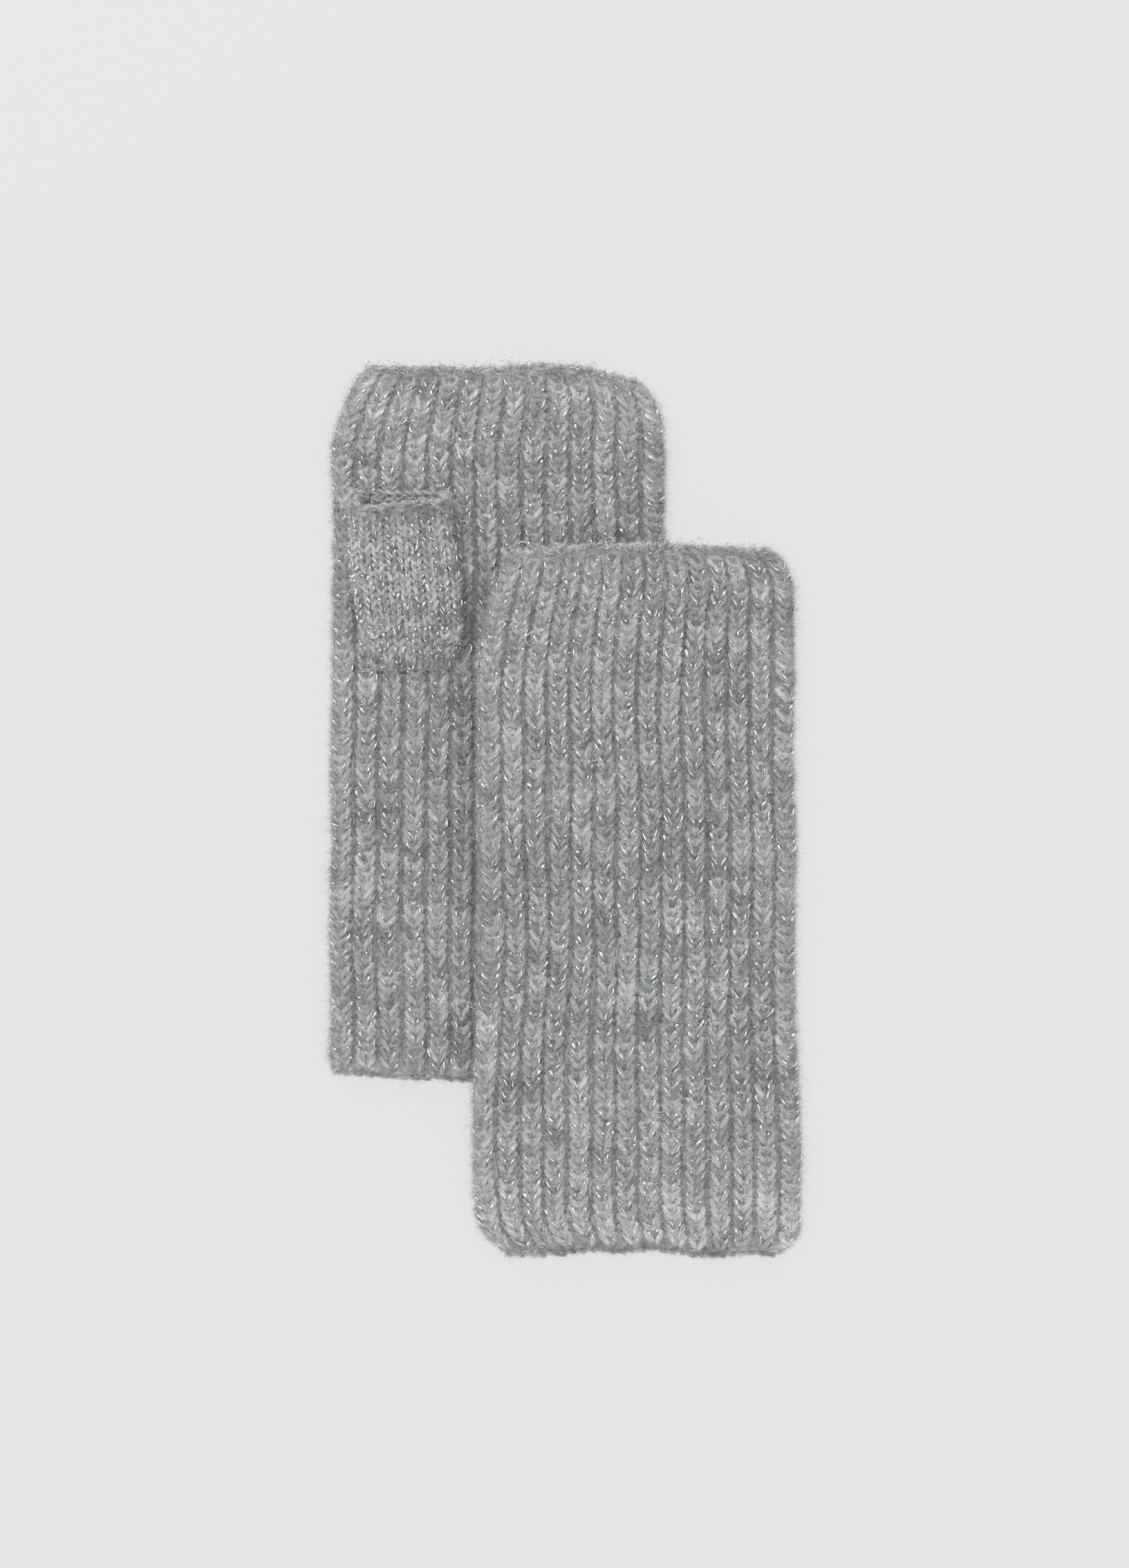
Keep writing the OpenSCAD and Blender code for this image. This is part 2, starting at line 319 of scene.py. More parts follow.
def thumb_point(g, a, s, n):
    """A point of a thumb's wall: s mm from its fold line, below 0 on the way down to the thumb hole's rim."""
    a, s, n = np.broadcast_arrays(np.asarray(a, float), np.asarray(s, float), np.asarray(n, float))
    mid_r = (g.thumb_t - THUMB_WALL) / 2
    on_tube = np.maximum(s, 0)
    u, h = flattened(a, thumb_half(on_tube) - YARN_BULK - g.thumb_t / 2, mid_r, n)
    far = np.clip(g.up * h / mid_r, -1, 1)
    tube = np.stack([
        g.thumb_x + THUMB_LEAN * on_tube / THUMB_LEN + u + 0.25 * np.sin(on_tube / 6),
        g.fold_y + on_tube - MOUTH_SLANT * far * on_tube / THUMB_LEN
        + MOUTH_TILT * np.clip(far, 0, 1) * u / (THUMB_BASE_W / 2) * ease((on_tube - 20) / 21),
        g.thumb_z + h - g.up * BASE_SLOPE[0] * np.clip(far, 0, 1) * (1 - ease(s / BASE_SLOPE[1])),
    ], -1)
    rim_u, rim_h = flattened(a, thumb_half(0) - YARN_BULK - g.thumb_t / 2, mid_r, 0)
    rim_far = g.up * rim_h / mid_r
    x = g.thumb_x + rim_u * HOLE_HALF[0] / (THUMB_BASE_W / 2)
    y = g.fold_y - HOLE_REACH + HOLE_HALF[1] + 0.4 - (HOLE_HALF[1] + n) * rim_far
    y = y - RIM_REACH * np.clip(rim_far, 0, 1)
    palm_z = underside(x, y) if g.right else np.full_like(x, HAND_T)
    rim = np.stack([x, y, palm_z + g.up * (0.5 * n - 0.1)], -1)
    return mix(tube, rim, np.clip(-s / BASE_LEN, 0, 1)[..., None])


def frames(centres, outward, closed):
    """Unit vectors along, up and beside each strand of centres, with up as near to outward as it can be."""
    if closed:
        along = np.roll(centres, -1, 1) - np.roll(centres, 1, 1)
    else:
        along = np.gradient(centres, axis=1)
    along = unit(along)
    beside = unit(np.cross(along, outward))
    return along, np.cross(beside, along), beside


class Strands:
    """Equal strands of yarn, as arrays of shape (strands, points, 3), with what fibre and filament need."""

    def __init__(self, centres, outward, radius, closed, tone):
        self.centres, self.outward, self.closed = centres, unit(outward), closed
        self.radius = np.broadcast_to(radius, centres.shape[:2])
        self.along, self.up, self.beside = frames(centres, self.outward, closed)
        self.tone = np.broadcast_to(tone, centres.shape[:2])
        self.keep = np.ones(centres.shape[:2], bool)


def blotches(rng, x, y, cell):
    """A smooth random field over a plane, about -1 to 1, with patches of the given size (across, along)."""
    grid = rng.normal(size=(64, 64))
    u, v = x / cell[0] + 200, y / cell[1] + 200
    i, j = np.floor(u).astype(int), np.floor(v).astype(int)
    s, t = ease(u - i), ease(v - j)
    at = lambda di, dj: grid[(i + di) % 64, (j + dj) % 64]
    return mix(mix(at(0, 0), at(1, 0), s), mix(at(0, 1), at(1, 1), s), t)


def mottle(rng, centres, stitches):
    """How light the yarn is along its strands, 0 to 1: in patches of a few stitches, and some of one."""
    lower = centres[..., 2] < centres[..., 2].mean()
    x, y = centres[..., 0] + 300 * lower, centres[..., 1]       # so the two layers have patches of their own
    rows, points = x.shape
    single = rng.normal(size=(rows, 4 * stitches))
    knots = np.concatenate([single, single[:, :1]], 1)
    where = np.linspace(0, 4 * stitches, points, endpoint=False)
    quick = np.stack([np.interp(where, np.arange(4 * stitches + 1), line) for line in knots])
    patches = 0.03 * blotches(rng, x, y, (30, 20)) + 0.032 * blotches(rng, x, y, (15, 4.5))
    return np.clip(0.5 + patches + 0.22 * quick, 0, 1)


def shade(g, v):
    """How much lighter the yarn is made towards the ends of each glove. At the right glove's cuff end this is
    painted light, as from a lamp below; towards the finger edges both gloves are made lighter too.
    """
    if g.right:
        # Painted light at the right glove's cuff end, and lighter towards its finger edge.
        return 0.18 * ease((50 - v) / 45) + 0.09 * ease((v - g.length + 30) / 30)
    return 0.14 * ease((v - g.length + 35) / 35)


def loops_round(rng, half_loop, count, rows, point, row_place, radius, stray_by):
    """Rows of interlocked loops round a tube: half_loop is mirrored into a stitch, count stitches a row."""
    half = np.array(half_loop)
    back = half[-2:0:-1] * (-1, 1, 1) + (1, 0, 0)
    stitch = np.concatenate([half, back])
    steps = len(stitch)
    points = count * steps
    which = np.repeat(np.arange(count), steps)
    across, along, out = np.tile(stitch, (count, 1)).T
    # Each loop strays a little as one piece: the stray belongs to the loop whose middle is nearer.
    near = np.where(across > 0.5, (which + 1) % count, which)
    firm = 0.5 + 0.5 * np.cos(2 * np.pi * across)
    stray = rng.normal(size=(3, rows, count)) * np.array(stray_by)[:, None, None]
    # The columns wander together over some rows, as a handled knit's do.
    lane, course = np.arange(count)[None, :], np.arange(rows)[:, None]
    wide = 0.07 * blotches(rng, 3.0 * lane, 1.0 * course, (5, 9))
    stray[0] += wide + 0.03 * blotches(rng, 9.0 * lane, 1.0 * course, (5, 4))
    a = (which + 0.5 + across + stray[0][:, near] * (0.4 + 0.6 * firm)) / count
    place = row_place(np.arange(rows)[:, None] + along + stray[1][:, near] * firm)
    n = out + stray[2][:, near] * firm
    centres = point(a, place, n)
    outward = point(a, place, n + 0.05) - point(a, place, n - 0.05)
    slow = 0.08 * rng.normal(size=(rows, count))[:, near]
    thick = radius * (1 + slow + 0.06 * rng.normal(size=(rows, points)))
    strands = Strands(centres, outward, thick, True, mottle(rng, centres, count))
    strands.steps, strands.a, strands.place, strands.n = steps, a, place, n
    return strands


def chain_round(rng, links, point, middle, side, radius, rough):
    """A row of chained links round a tube's edge, as an upper and a lower strand that share their ends.

    It lies middle mm along the tube, on its outer (side 1) or inner (-1) face, and strays by rough mm.
    """
    link = np.array(CHAIN_LINK)
    steps = len(link)
    which = np.repeat(np.arange(links), steps)
    along, up, out = np.tile(link, (links, 1)).T
    stray = rng.normal(size=(2, links)) * rough
    a = ((which + along) / links)[None, :]
    places = np.stack([middle + up + stray[0][which], middle - up + stray[0][which]])
    n = np.stack([side * out + stray[1][which]] * 2)
    centres = point(a, places, n)
    outward = side * (point(a, places, n + 0.05) - point(a, places, n - 0.05))
    return Strands(centres, outward, radius, True, mottle(rng, centres, links))


def sweep(strands):
    """Vertices, quads and per-vertex values of yarn tubes along strands."""
    rows, points = strands.centres.shape[:2]
    sides = YARN_SIDES
    turn = 2 * np.pi * np.arange(sides) / sides
    spoke = (np.cos(turn)[:, None] * strands.up[..., None, :]
             + np.sin(turn)[:, None] * strands.beside[..., None, :])
    lumps = np.random.default_rng(rows).normal(size=(rows, points, sides, 1))
    verts = strands.centres[..., None, :] + strands.radius[..., None, None] * (1 + 0.07 * lumps) * spoke
    last = points if strands.closed else points - 1
    j, i, k = np.meshgrid(np.arange(rows), np.arange(last), np.arange(sides), indexing="ij")
    here = strands.keep & np.roll(strands.keep, -1, 1)
    chosen = here[j, i]
    j, i, k = j[chosen], i[chosen], k[chosen]
    i2, k2 = (i + 1) % points, (k + 1) % sides
    corner = lambda ii, kk: (j * points + ii) * sides + kk
    quads = np.stack([corner(i, k), corner(i, k2), corner(i2, k2), corner(i2, k)], -1)
    # A coordinate that runs along the yarn and round it, so that the fibres drawn with it follow its twist.
    step = np.linalg.norm(np.diff(strands.centres, axis=1, append=strands.centres[:, :1]), axis=-1)
    run = np.cumsum(step, 1) + 37.0 * np.arange(rows)[:, None]
    twisted = turn + 0.55 * run[..., None]
    r = strands.radius[..., None]
    run = np.broadcast_to(run[..., None], twisted.shape)
    fibre = np.stack([run, r * np.cos(twisted), r * np.sin(twisted)], -1)
    tone = np.repeat(strands.tone[..., None], sides, -1)
    return verts.reshape(-1, 3), quads, fibre.reshape(-1, 3), tone.ravel()


def make_piece(name, made, material, node=None):
    """A smooth mesh piece from (verts, faces, fibre, tone) and the CAD node that it replaces.

    Faces all have the same number of corners.
    """
    verts, faces, fibre, tone = made
    used, flat = np.unique(faces, return_inverse=True)
    faces = flat.reshape(faces.shape)
    verts = verts[used]
    verts[:, 2] = np.maximum(verts[:, 2], 0.03)
    mesh = bpy.data.meshes.new(name)
    mesh.vertices.add(len(verts))
    mesh.vertices.foreach_set("co", (verts * MM).astype(np.float32).ravel())
    mesh.loops.add(faces.size)
    mesh.loops.foreach_set("vertex_index", faces.astype(np.int32).ravel())
    mesh.polygons.add(len(faces))
    mesh.polygons.foreach_set("loop_start", np.arange(0, faces.size, faces.shape[1], dtype=np.int32))
    mesh.polygons.foreach_set("use_smooth", np.ones(len(faces), bool))
    mesh.attributes.new("fibre", "FLOAT_VECTOR", "POINT").data.foreach_set(
        "vector", fibre[used].astype(np.float32).ravel())
    mesh.attributes.new("tone", "FLOAT", "POINT").data.foreach_set(
        "value", tone[used].astype(np.float32).ravel())
    mesh.update(calc_edges=True)
    mesh.materials.append(material)
    piece = bpy.data.objects.new(name, mesh)
    bpy.context.scene.collection.objects.link(piece)
    if node:
        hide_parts(node)
    return piece


def join(parts):
    """Several (verts, faces, fibre, tone) as one."""
    starts = np.cumsum([0] + [len(p[0]) for p in parts[:-1]])
    return (
        np.concatenate([p[0] for p in parts]),
        np.concatenate([p[1] + start for p, start in zip(parts, starts)]),
        np.concatenate([p[2] for p in parts]),
        np.concatenate([p[3] for p in parts]),
    )


# ---------------------------------------------------------------- fibre fuzz and silver filament

def pick(rng, strands, count, weight):
    """Random places on strands, as (strand, point), by weight."""
    weight = (weight * strands.keep).ravel()
    chosen = rng.choice(weight.size, size=count, p=weight / weight.sum())
    return np.unravel_index(chosen, strands.centres.shape[:2])


def fuzz(rng, strands, hairs, weight, face=1.0):
    """Fine bent hairs over the yarn and across its furrows, each a tapering ribbon of three triangles.

    hairs is one of the kinds above; face is -1 for hairs on the inner side of the wall.
    """
    count, length, width, lift = hairs
    j, i = pick(rng, strands, count, weight)
    turn = rng.normal(size=count) * 0.9 + (0 if face > 0 else np.pi)
    spoke = np.cos(turn)[:, None] * strands.up[j, i] + np.sin(turn)[:, None] * strands.beside[j, i]
    slide = rng.uniform(-0.5, 0.5, size=(count, 1)) * 0.9
    root = strands.centres[j, i] + strands.along[j, i] * slide + spoke * strands.radius[j, i][:, None] * 0.85
    normal = strands.outward[j, i] * face
    flow = strands.along[j, i] * rng.choice([-1, 1], size=(count, 1))
    loose = rng.normal(size=(count, 3)) * 0.5
    loose -= (loose * normal).sum(1, keepdims=True) * normal * 0.6
    size = length * np.exp(0.35 * np.clip(rng.normal(size=(count, 1)), -2, 2))
    heading = unit(0.7 * flow + loose + (lift + 0.25 * np.abs(rng.normal(size=(count, 1)))) * normal)
    turned = unit(heading + 0.9 * unit(rng.normal(size=(count, 3))) - (0.75 - 0.6 * lift) * normal)
    middle = root + heading * size * 0.5
    tip = middle + turned * size * 0.5
    across = unit(np.cross(heading, rng.normal(size=(count, 3)))) * width / 2
    verts = np.stack([root - across, root + across, middle - across, middle + across, tip], 1)
    base = (np.arange(count) * 5)[:, None, None]
    faces = (base + np.array([[0, 1, 3], [0, 3, 2], [2, 3, 4]])).reshape(-1, 3)
    tone = np.repeat(np.clip(strands.tone[j, i] - 0.03 + 0.24 * rng.normal(size=count), 0, 1), 5)
    return verts.reshape(-1, 3), faces, np.zeros((count * 5, 3)), tone


def thin_strand(paths, radius):
    """Thin strands along paths of shape (count, points, 3), drawn in at each end and kept out of the floor."""
    count, points = paths.shape[:2]
    sides = FILAMENT_SIDES
    paths = np.stack([paths[..., 0], paths[..., 1], np.maximum(paths[..., 2], 0.05 + radius)], -1)
    along = unit(np.gradient(paths, axis=1))
    other = unit(np.cross(along, np.array([0.31, 0.22, 0.92])))
    third = np.cross(along, other)
    taper = np.ones(points)
    taper[[0, -1]] = 0.35
    turn = 2 * np.pi * np.arange(sides) / sides
    spoke = np.cos(turn)[:, None] * other[..., None, :] + np.sin(turn)[:, None] * third[..., None, :]
    size = np.broadcast_to(radius, (count, points)) * taper
    verts = paths[..., None, :] + size[..., None, None] * spoke
    j, i, k = np.meshgrid(np.arange(count), np.arange(points - 1), np.arange(sides), indexing="ij")
    k2 = (k + 1) % sides
    corner = lambda ii, kk: (j * points + ii) * sides + kk
    quads = np.stack([corner(i, k), corner(i, k2), corner(i + 1, k2), corner(i + 1, k)], -1).reshape(-1, 4)
    verts = verts.reshape(-1, 3)
    return verts, quads, np.zeros_like(verts), np.zeros(len(verts))


def filament_on(rng, strands, legs, share, radius):
    """Silver filament where it surfaces on stitch legs, as paths and radii: a bright core with thin tails."""
    rows, points = strands.centres.shape[:2]
    count = points // strands.steps
    paths, sizes = [], []
    for first, last, lean in legs:
        shown = rng.random((rows, count)) < share
        j, k = np.nonzero(shown)
        m = len(j)
        middle = rng.uniform(first + 0.3, last - 0.3, m)
        reach = rng.uniform(0.3, 1.1, m) * rng.choice([-1, 1], m)
        t = np.linspace(-1, 1, 7)
        where = middle[:, None] + reach[:, None] * t
        turn = (rng.normal(size=m) * 0.35)[:, None] + lean * 0.5 * t
        turn = turn + 0.45 * rng.normal(size=(m, 1)) * t**2
        low = np.floor(where).astype(int)
        part = (where - low)[..., None]
        at = (k[:, None] * strands.steps + low) % points
        nxt = (at + 1) % points
        row = np.broadcast_to(j[:, None], at.shape)
        ok = (strands.keep[row, at] & strands.keep[row, nxt]).all(1)
        lerp = lambda field: mix(field[row, at], field[row, nxt], part)
        off = lerp(strands.radius[..., None])[..., 0] + 0.36 - 0.45 * t**4
        spoke = np.cos(turn)[..., None] * lerp(strands.up)
        spoke = spoke + np.sin(turn)[..., None] * lerp(strands.beside)
        paths.append((lerp(strands.centres) + off[..., None] * spoke)[ok])
        core = 0.24 + 0.76 * np.exp(-(((t + 0.2) / 0.5) ** 2))
        sizes.append((radius * rng.uniform(0.45, 1.2, (m, 1)) * core)[ok])
    return np.concatenate(paths), np.concatenate(sizes)


def curls(rng, centres, outward, radius, size):
    """Loose curls of filament that lie near the surface at the given places."""
    count = len(centres)
    normal = unit(outward + 0.35 * rng.normal(size=(count, 3)))
    one = unit(np.cross(normal, rng.normal(size=(count, 3))))
    two = np.cross(normal, one)
    big = size * np.exp(0.3 * rng.normal(size=(count, 1)))
    start = rng.uniform(0, 2 * np.pi, (count, 1))
    sweep_by = rng.choice([1.2, 1.6, 2.4, 4.6], (count, 1))
    t = np.linspace(0, 1, 12)[None, :]
    turn = start + sweep_by * t
    ring = np.cos(turn)[..., None] * one[:, None] + 0.8 * np.sin(turn)[..., None] * two[:, None]
    ring = ring * big[..., None]
    height = 0.35 - 0.9 * (2 * t - 1)[..., None] ** 4
    return centres[:, None] + ring + height * normal[:, None], np.full((count, 1), radius)


# ---------------------------------------------------------------- materials

def node_material(name):
    material = bpy.data.materials.new(name)
    material.use_nodes = True
    tree = material.node_tree
    shader = next(n for n in tree.nodes if n.type == "BSDF_PRINCIPLED")
    return material, tree, shader


def attribute(tree, name):
    node = tree.nodes.new("ShaderNodeAttribute")
    node.attribute_name = name
    return node


def scaled_noise(tree, vector, scale, detail, size):
    """Noise along a stretched copy of vector."""
    mapping = tree.nodes.new("ShaderNodeMapping")
    mapping.inputs["Scale"].default_value = scale
    tree.links.new(vector, mapping.inputs["Vector"])
    noise = tree.nodes.new("ShaderNodeTexNoise")
    noise.inputs["Scale"].default_value = size
    noise.inputs["Detail"].default_value = detail
    tree.links.new(mapping.outputs["Vector"], noise.inputs["Vector"])
    return noise


def ramp_between(tree, factor, dark, light, low=0.0, high=1.0):
    ramp = tree.nodes.new("ShaderNodeValToRGB")
    first, last = ramp.color_ramp.elements
    first.position, first.color = low, (*dark, 1)
    last.position, last.color = high, (*light, 1)
    tree.links.new(factor, ramp.inputs["Fac"])
    return ramp


def multiply(tree, one, two):
    node = tree.nodes.new("ShaderNodeMix")
    node.data_type, node.blend_type = "RGBA", "MULTIPLY"
    node.inputs["Factor"].default_value = 1.0
    tree.links.new(one, node.inputs["A"])
    tree.links.new(two, node.inputs["B"])
    return node


def wool(name, dark, light, sheen):
    """Brushed mottled wool: its tone drifts along the yarn, and fine fibres run along it with its twist."""
    material, tree, shader = node_material(name)
    tone = attribute(tree, "tone")
    fibre = attribute(tree, "fibre")
    base = ramp_between(tree, tone.outputs["Fac"], dark, light, 0.1, 0.9)
    hairs = scaled_noise(tree, fibre.outputs["Vector"], (0.35, 3.2, 3.2), 3, 1.0)
    streak = ramp_between(tree, hairs.outputs["Fac"], (0.46, 0.46, 0.46), (1.45, 1.45, 1.45), 0.3, 0.7)
    tree.links.new(multiply(tree, base.outputs["Color"], streak.outputs["Color"]).outputs["Result"],
                   shader.inputs["Base Color"])
    bump = tree.nodes.new("ShaderNodeBump")
    bump.inputs["Strength"].default_value = 0.6
    bump.inputs["Distance"].default_value = 0.0003
    tree.links.new(hairs.outputs["Fac"], bump.inputs["Height"])
    tree.links.new(bump.outputs["Normal"], shader.inputs["Normal"])
    shader.inputs["Roughness"].default_value = 0.95
    shader.inputs["Specular IOR Level"].default_value = 0.15
    shader.inputs["Sheen Weight"].default_value = sheen
    shader.inputs["Sheen Roughness"].default_value = 0.5
    return material


def hair(name, dark, light):
    """Single hairs, each of one tone."""
    material, tree, shader = node_material(name)
    tone = attribute(tree, "tone")
    base = ramp_between(tree, tone.outputs["Fac"], dark, light)
    tree.links.new(base.outputs["Color"], shader.inputs["Base Color"])
    shader.inputs["Roughness"].default_value = 0.8
    shader.inputs["Specular IOR Level"].default_value = 0.2
    return material


def silver(name):
    """Bright metallic filament, dulled here and there."""
    material, tree, shader = node_material(name)
    place = tree.nodes.new("ShaderNodeTexCoord")
    dulling = scaled_noise(tree, place.outputs["Object"], (1, 1, 1), 2, 900.0)
    base = ramp_between(tree, dulling.outputs["Fac"], (0.80, 0.80, 0.80), (1.0, 1.0, 1.0), 0.35, 0.6)
    tree.links.new(base.outputs["Color"], shader.inputs["Base Color"])
    shader.inputs["Metallic"].default_value = 0.9
    shader.inputs["Roughness"].default_value = 0.2
    return material


def plain_stage(name, colour, glow):
    """A matt floor that glows evenly, so that only faint shadows show on it."""
    material, tree, shader = node_material(name)
    shader.inputs["Base Color"].default_value = (*colour, 1)
    shader.inputs["Roughness"].default_value = 1.0
    shader.inputs["Specular IOR Level"].default_value = 0.0
    shader.inputs["Emission Color"].default_value = (*colour, 1)
    shader.inputs["Emission Strength"].default_value = glow
    return material


# The darkest and the lightest tone of each, and the wool's sheen.
WOOL = wool("brushed_wool", (0.285, 0.297, 0.300), (0.69, 0.702, 0.700), 0.3)
# The matting is darker than the wool: painted shade in the gaps between stitches.
MATTING_SHADE = wool("matted_wool_painted_shade", (0.26, 0.266, 0.266), (0.50, 0.511, 0.51), 0.1)
FUZZ = hair("wool_fuzz", (0.22, 0.228, 0.230), (0.84, 0.853, 0.850))
FILAMENT = silver("silver_filament")
FLOOR = plain_stage("pale_floor", (0.08, 0.08, 0.08), 8.78)


# ---------------------------------------------------------------- camera, floor and light

def make_camera():
    data = bpy.data.cameras.new("camera")
    data.sensor_fit = "VERTICAL"
    data.sensor_height = SENSOR
    data.lens = SENSOR * CAMERA_HEIGHT / VIEW_HEIGHT
    data.clip_end = SIGHT
    camera = bpy.data.objects.new("camera", data)
    camera.location = (VIEW_CENTRE[0] * MM, VIEW_CENTRE[1] * MM, CAMERA_HEIGHT * MM)
    bpy.context.scene.collection.objects.link(camera)
    bpy.context.scene.camera = camera


def make_floor():
    mesh = bpy.data.meshes.new("floor")
    reach = FLOOR_REACH
    corners = [(-reach, -reach, 0), (reach, -reach, 0), (reach, reach, 0), (-reach, reach, 0)]
    mesh.from_pydata(corners, [], [(0, 1, 2, 3)])
    mesh.materials.append(FLOOR)
    floor = bpy.data.objects.new("floor", mesh)
    bpy.context.scene.collection.objects.link(floor)
    floor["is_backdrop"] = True


def area_light(name, place, size, power, colour=(1.0, 1.0, 1.0)):
    """A round light aimed at the middle of the floor."""
    data = bpy.data.lights.new(name, "AREA")
    data.shape, data.size, data.energy, data.color = "DISK", size, power, colour
    light = bpy.data.objects.new(name, data)
    light.location = place
    aim = -np.array(place)
    light.rotation_euler = (math.atan2(math.hypot(aim[0], aim[1]), -aim[2]), 0, math.atan2(aim[0], -aim[1]))
    bpy.context.scene.collection.objects.link(light)


def make_light():
    world = bpy.data.worlds.new("sky")
    world.use_nodes = True
    background = world.node_tree.nodes["Background"]
    background.inputs["Color"].default_value = (1, 1, 1, 1)
    background.inputs["Strength"].default_value = 0.92
    bpy.context.scene.world = world
    bpy.context.scene.view_settings.view_transform = "Standard"
    area_light("softbox", (-0.8, 1.2, 1.6), LIGHT_SIZE, 81.0)
    area_light("fill", (0.6, -1.1, 1.3), LIGHT_SIZE, 46.0, WARM)


make_camera()
make_floor()
make_light()


# ---------------------------------------------------------------- the gloves

def hand_strands(g, rng):
    first, last = g.panel
    row = (last - first) / ROWS
    place = lambda r: first + row * (r + 0.5)
    strands = loops_round(rng, RIB_LOOP, RIBS, ROWS, g.hand, place, YARN_R, RIB_STRAY)
    x, y = strands.centres[..., 0], strands.centres[..., 1]
    in_hole = (np.abs(x - g.thumb_x) < HOLE_HALF[0] - 2) & (y > g.fold_y - HOLE_REACH + 0.8) & (y < g.fold_y)
    on_palm = np.mod(strands.a, 1) * g.up < 0.5 * g.up
    strands.keep = ~(in_hole & on_palm)
    # Painted light towards the glove's ends, added to the yarn's tone.
    strands.tone = np.clip(strands.tone + shade(g, strands.place), 0, 1)
    return strands


def thumb_strands(g, rng):
    rows = int((THUMB_LEN - 3 + BASE_LEN) / THUMB_ROW)
    place = lambda r: THUMB_ROW * (r + 0.5) - BASE_LEN
    return loops_round(rng, PLAIN_LOOP, THUMB_WALES, rows, g.thumb, place, THUMB_YARN_R, PLAIN_STRAY)


def thumb_hole(g, p):
    """Which points of a hand's wall lie in its thumb hole."""
    across = np.abs(p[..., 0] - g.thumb_x) < HOLE_HALF[0] - 1
    along = (p[..., 1] > g.fold_y - HOLE_REACH) & (p[..., 1] < g.fold_y)
    on_palm = p[..., 2] < g.thumb_z + 7 if g.right else p[..., 2] > g.thumb_z - 6
    return across & along & on_palm


def wall_sheet(point, stitches, places, low, high, drop=None):
    """The matted fibre inside a wall, which shuts the gaps between stitches, darker than the yarn as painted
    shade.

    It is high behind each outer column of stitches and low, and painted darker, in the furrows between them:
    painted shade where the furrows lie in shadow.
    """
    cols = stitches * 8
    a, v = np.meshgrid(np.arange(cols) / cols, places)
    ridge = 0.5 - 0.5 * np.cos(2 * np.pi * stitches * a)
    ridge = np.maximum(ridge, 1 - ease((np.minimum(v - places[0], places[-1] - v) - 1) / 6))
    verts = point(a, v, mix(low, high, ridge))
    rows = len(places)
    j, i = np.meshgrid(np.arange(rows - 1), np.arange(cols), indexing="ij")
    if drop is not None:
        shown = ~drop(verts)[:-1]
        j, i = j[shown], i[shown]
    i2 = (i + 1) % cols
    quads = np.stack([j * cols + i, j * cols + i2, (j + 1) * cols + i2, (j + 1) * cols + i], -1)
    fibre = np.stack([v, a * 200, np.zeros_like(v)], -1).reshape(-1, 3)
    # Tone lowest in the furrows: painted shade.
    return verts.reshape(-1, 3), quads.reshape(-1, 4), fibre, (0.35 + 0.45 * ridge).ravel()


def bands(strands, parts):
    """Splits strands into groups of neighbouring rows."""
    for some in np.array_split(np.arange(strands.centres.shape[0]), parts):
        part = Strands(strands.centres[some], strands.outward[some], strands.radius[some], strands.closed,
                       strands.tone[some])
        part.keep = strands.keep[some]
        yield part


def seam_yarn(point, places, swing, depth, rise, radius):
    """The zigzag yarn of a linked seam on the inner side of a tube, half way round it.

    It swings a share of the way round the tube to each side, and rises and falls about its depth in the wall.
    """
    zig = np.where(np.arange(len(places)) % 4 < 2, 1.0, -1.0)
    path = point(0.5 + swing * zig, places, -depth + rise * zig)[None]
    out = path - point(0.5 + swing * zig, places, -depth - 1)[None]
    return sweep(Strands(path, out, radius, False, 0.4))


def edge_nap(rng, chain, count, lift, painted_light=0.0):
    """Fuzz that hides the links of a chained edge. Its hairs can be made lighter by a set amount, which is
    painted light.
    """
    every = np.ones(chain.centres.shape[:2])
    verts, faces, fibre, tone = fuzz(rng, chain, (count, *NAP_SIZE, lift), every)
    return verts, faces, fibre, np.clip(tone + painted_light, 0, 1)


def furrows(g, rng):
    """Lines along the furrows between the ribs, for the fuzz that fills them."""
    v = np.arange(3.0, g.length - 2, 1.5)
    lane = (np.arange(RIBS) + 0.03 * rng.normal(size=RIBS))[:, None] / RIBS
    v = np.broadcast_to(v, (RIBS, len(v)))
    n = 0.65 + 0.45 * blotches(rng, 56 * lane, v, (1, 3))
    # Towards the finger edge the furrows fade away.
    n = n + 0.35 * ease((v - g.length + 32) / 20) + 0.4 * ease((v - g.length + 10) / 7)
    centres = hand_point(g, lane, v, n)
    tone = np.clip(mottle(rng, centres, v.shape[1] // 4) + shade(g, v), 0, 1)
    return Strands(centres, hand_point(g, lane, v, n + 0.2) - centres, 0.3, False, tone)


def hand_knit(g, strands):
    """The rib knit in four bands, and the matting inside its wall, painted dark as shade."""
    pieces = []
    for number, part in enumerate(bands(strands, 4), 1):
        node = f"{g.side}_hand_panel" if number == 1 else None
        pieces.append(make_piece(f"{g.side}_rib_knit_{number}", sweep(part), WOOL, node))
    places = np.arange(1.5, g.length - 1, 2.0)
    sheet = wall_sheet(g.hand, RIBS, places, 0.5, 0.7, lambda p: thumb_hole(g, p))
    return pieces + [make_piece(f"{g.side}_hand_matting", sheet, MATTING_SHADE)]


